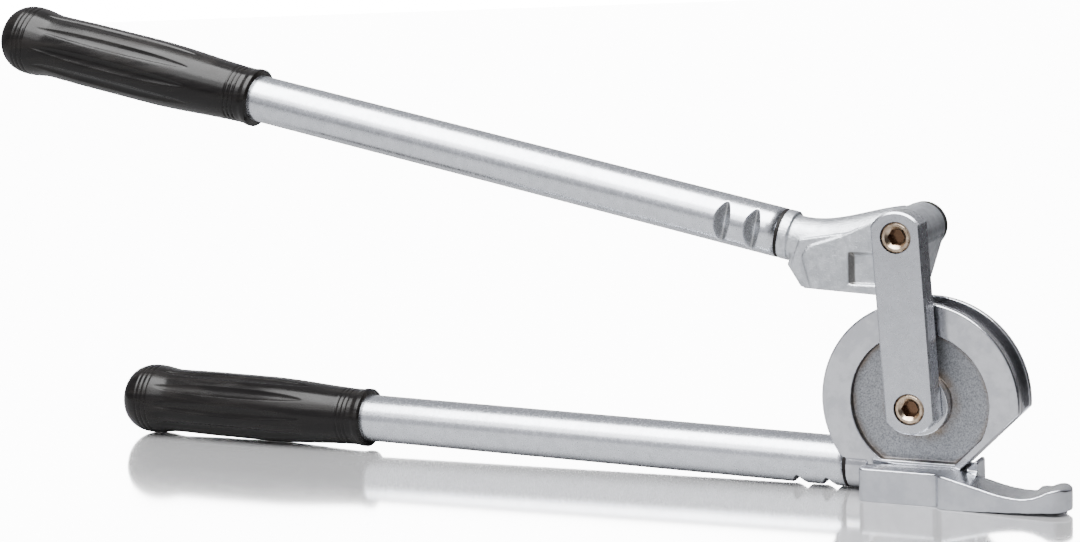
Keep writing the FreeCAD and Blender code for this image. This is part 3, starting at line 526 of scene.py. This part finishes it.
def add_floor():
    """A glossy pale floor, which the camera alone sees and which mirrors the backdrop. The
    object reflects the sheet from add_ground instead."""
    floor = flat_sheet("floor", STUDIO_WIDTH, STUDIO_WIDTH)
    floor.visible_diffuse = floor.visible_glossy = floor.visible_shadow = False
    m = Nodes("floor_white")
    cloud = m.noise(3, 2.0)
    gloss = m.add("ShaderNodeBsdfGlossy")
    gloss.inputs["Color"].default_value = (0.98, 0.98, 0.985, 1)
    gloss.inputs["Roughness"].default_value = 0.09
    blend = m.add("ShaderNodeMixShader")
    blend.inputs["Fac"].default_value = 0.70
    m.put(m.shader.outputs[0], blend.inputs[1])
    m.put(gloss.outputs[0], blend.inputs[2])
    m.put(blend.outputs[0], m.tree.nodes["Material Output"].inputs[0])
    colour = m.mix(m.span(cloud, 0.3, 0.7), (0.55, 0.55, 0.555), (0.57, 0.57, 0.575))
    floor.data.materials.append(m.finish(colour, 0.6, m.bump(cloud, 0.0), 0.0))
    return floor


def add_ground():
    """A matt grey sheet just under the floor, which the camera doesn't see and the object
    reflects. It fades to near black right of the object and behind it, which darkens the
    metal's right and back sides."""
    below_floor = 0.5 * MM
    grey, near_black = (0.27, 0.27, 0.273), (0.03, 0.03, 0.031)
    fade_right, fade_back = (0.06, 0.24), (0.12, 0.40)
    ground = flat_sheet("ground", STUDIO_WIDTH, STUDIO_WIDTH)
    ground.location.z = -below_floor
    ground.visible_camera = False
    m = Nodes("ground_grey")
    x, y, _ = m.axes()
    dark = m.math("MAXIMUM", m.span(x, *fade_right), m.span(y, *fade_back))
    colour = m.mix(dark, grey, near_black)
    ground.data.materials.append(m.finish(colour, 0.6, m.bump(m.noise(3), 0.0), 0.0))


def light_only(lamp, target):
    """Let a light, or a glowing sheet, fall on one object alone."""
    lit = bpy.data.collections.new(lamp.name + "_falls_on")
    lit.objects.link(target)
    lamp.light_linking.receiver_collection = lit


def add_backdrop(floor):
    """A bright sheet behind the object. Its glow falls on the floor alone, which whitens the
    background and leaves the metal its dark outlines. The object sees the sheet only by the
    light of backdrop_wash, which is dim."""
    wide, tall = 7.4, 1.5
    backdrop = flat_sheet("backdrop", wide, tall)
    turn_to(backdrop, (-0.38, 3.29, tall / 2), (1.02, 0.54, tall / 2), "Z")
    backdrop.visible_diffuse = backdrop.visible_shadow = False
    m = Nodes("backdrop_light")
    glow = m.add("ShaderNodeEmission")
    glow.inputs["Strength"].default_value = 17.0
    both = m.add("ShaderNodeAddShader")
    m.put(glow.outputs[0], both.inputs[0])
    m.put(m.shader.outputs[0], both.inputs[1])
    m.put(both.outputs[0], m.tree.nodes["Material Output"].inputs[0])
    cloud = m.noise(2)
    grey = m.mix(cloud, (0.78, 0.78, 0.78), (0.80, 0.80, 0.80))
    backdrop.data.materials.append(m.finish(grey, 0.8, m.bump(cloud, 0.0), 0.0))
    wash = add_light("backdrop_wash", (-0.75, 1.2, 0.8), (-1.45, 2.75, 0.6), (1.2, 0.6), 12)
    light_only(backdrop, floor)
    light_only(wash, backdrop)


def add_light(name, place, aim, size, power):
    """A soft rectangular lamp, with its size in metres and its power in watts."""
    data = bpy.data.lights.new(name, "AREA")
    data.shape = "RECTANGLE"
    data.size, data.size_y = size
    data.energy = power
    light = bpy.data.objects.new(name, data)
    turn_to(light, place, aim, "-Z")
    bpy.context.scene.collection.objects.link(light)
    return light


def add_world():
    """A room that is brightest in front of the object, dimmer behind it and dark at its sides.
    Stops are (place, shade) along the room's depth and its width, from 0 to 1."""
    depth_stops = ((0.50, 1.0), (0.65, 0.75))
    width_stops = ((0.10, 0.35), (0.28, 1.0), (0.67, 1.0), (0.87, 0.12))
    blue_tint, strength = 1.03, 0.72
    world = bpy.data.worlds.new("studio")
    world.use_nodes = True
    bpy.context.scene.world = world
    tree = world.node_tree
    place = tree.nodes.new("ShaderNodeTexCoord")
    split = tree.nodes.new("ShaderNodeSeparateXYZ")
    tree.links.new(place.outputs["Generated"], split.inputs[0])
    shades = []
    for output, stops in ((1, depth_stops), (0, width_stops)):
        ramp = tree.nodes.new("ShaderNodeValToRGB")
        half = tree.nodes.new("ShaderNodeMath")
        half.operation = "MULTIPLY_ADD"
        half.inputs[1].default_value = half.inputs[2].default_value = 0.5
        tree.links.new(split.outputs[output], half.inputs[0])
        tree.links.new(half.outputs[0], ramp.inputs[0])
        elements = ramp.color_ramp.elements
        while len(elements) < len(stops):
            elements.new(0.5)
        for element, (position, shade) in zip(elements, stops):
            element.position = position
            element.color = (shade, shade, shade * blue_tint, 1)
        shades.append(ramp.outputs[0])
    both = tree.nodes.new("ShaderNodeVectorMath")
    both.operation = "MULTIPLY"
    for shade, socket in zip(shades, both.inputs):
        tree.links.new(shade, socket)
    tree.links.new(both.outputs[0], tree.nodes["Background"].inputs[0])
    tree.nodes["Background"].inputs["Strength"].default_value = strength


# ---------------------------------------------------------------- the scene

add_camera()
add_world()
add_ground()
add_backdrop(add_floor())
add_light("softbox_above", (-0.15, -0.35, 0.95), (-0.12, 0, 0.05), (1.3, 0.9), 50)
add_light("fill_front", (-0.5, -1.3, 0.9), (-0.1, 0, 0.05), (0.9, 0.5), 7)

zinc = plated_metal("tube_zinc", (0.69, 0.71, 0.755), (0.62, 0.64, 0.68), rough=0.25,
                    grain=1500, grain_depth=0.005, mottle=240, dents=True)
blasted = plated_metal("head_casting", (0.65, 0.67, 0.705), (0.52, 0.54, 0.57), rough=0.36,
                       grain=1700, grain_depth=0.20, mottle=190, cast=True, window=True)
satin = plated_metal("link_steel", (0.575, 0.59, 0.63), (0.53, 0.545, 0.58), rough=0.28,
                     grain=2200, grain_depth=0.006, mottle=140)
polished = plated_metal("latch_steel", (0.56, 0.575, 0.61), (0.48, 0.495, 0.53), rough=0.20,
                        grain=1600, grain_depth=0.02, mottle=110, cast=True)
wheel = wheel_metal()
bronze_tone = bolt_metal()
bearing = coloured_metal("bearing_bronze", (0.60, 0.42, 0.20), (0.45, 0.30, 0.14), rough=0.35)
black_steel = dark_finish("black_steel", (0.020, 0.020, 0.021), rough=0.35, metallic=1.0)
rubber = dark_finish("ring_rubber", (0.006, 0.005, 0.005), rough=0.55, metallic=0.0, gloss=0.15)
plastic = grip_plastic()

cast_piece("wheel_body", "forming_wheel", wheel, "frame", "wheel_casting",
           voxel=0.30 * MM, passes=4, handle="fixed")
cast_piece("head_body", "slide_head", blasted, "lever", "head_casting",
           voxel=0.36 * MM, passes=5, handle="lever")
cast_piece("latch_body", "tube_latch", polished, "latch", "latch_steel",
           voxel=0.40 * MM, passes=6)

for side, body, dents, dent_side in (
    ("fixed", "frame", (8.4 * MM, 20.9 * MM), Vector((0, 0, -1))),
    ("lever", "lever", (10.9 * MM, 23.8 * MM), Vector((0, -1, 0))),
):
    node = side + "_handle_tube"
    mesh = tube_mesh(side + "_tube_skin", side, dents, dent_side)
    new_piece(side + "_tube_skin", mesh, zinc, body, "tube_zinc", node)
    node = side + "_handle_grip"
    mesh = grip_mesh(side + "_grip_skin", side)
    new_piece(side + "_grip_skin", mesh, plastic, body, "grip_plastic", node)

painted = {
    "link_bar": satin, "latch_screw": bronze_tone,
    "fixed_handle_ring": rubber, "lever_handle_ring": rubber,
}
for pivot in ("wheel_pivot", "head_pivot"):
    painted[pivot + "_bolt"] = bronze_tone
    painted[pivot + "_bush"] = painted[pivot + "_thrust_ring"] = bearing
    painted[pivot + "_washer"] = painted[pivot + "_nut"] = black_steel
for node, material in painted.items():
    slots = frame["nodes"][node].data.materials
    slots.clear()
    slots.append(material)

bpy.context.view_layer.update()
